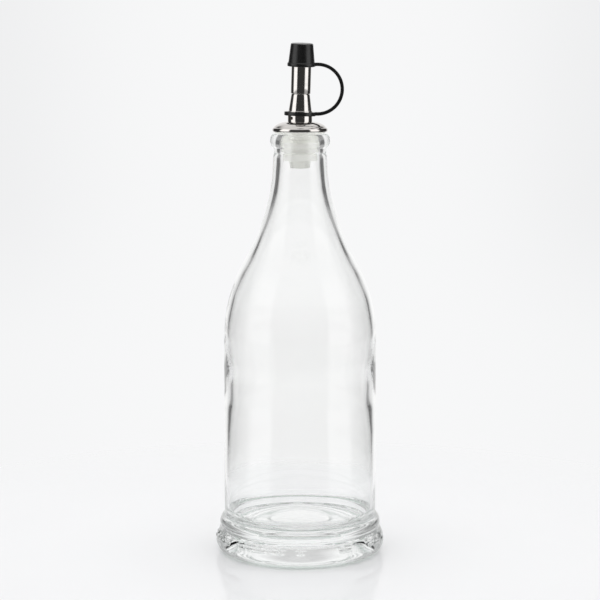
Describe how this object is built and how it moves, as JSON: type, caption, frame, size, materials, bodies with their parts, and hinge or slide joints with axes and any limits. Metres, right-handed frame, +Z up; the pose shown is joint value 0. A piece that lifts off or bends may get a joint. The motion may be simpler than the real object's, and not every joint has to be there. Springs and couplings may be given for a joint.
{
  "type": "oil dispenser bottle",
  "caption": "Tall clear glass bottle with a beaded foot, narrow neck, ribbed stopper, steel pouring spout and tethered black rubber cap.",
  "frame": {"origin": "centre of the foot, on the surface the bottle stands on", "axes": "+Z up along the bottle's axis, +X towards the strap's loop, -Y towards the viewer of the reference view"},
  "size_m": [0.0834, 0.0834, 0.2509],
  "materials": {
    "clear_glass": "clear blown glass, faintly green in the thick foot",
    "clouded_plastic": "clouded translucent moulding",
    "polished_steel": "polished stainless steel",
    "black_rubber": "smooth matt moulding"
  },
  "bodies": {
    "root": {"glass_bottle": "clear_glass", "stopper": "clouded_plastic", "pourer_base": "polished_steel", "pourer_tube": "polished_steel", "cap_and_tether": "black_rubber"}
  },
  "joints": []
}
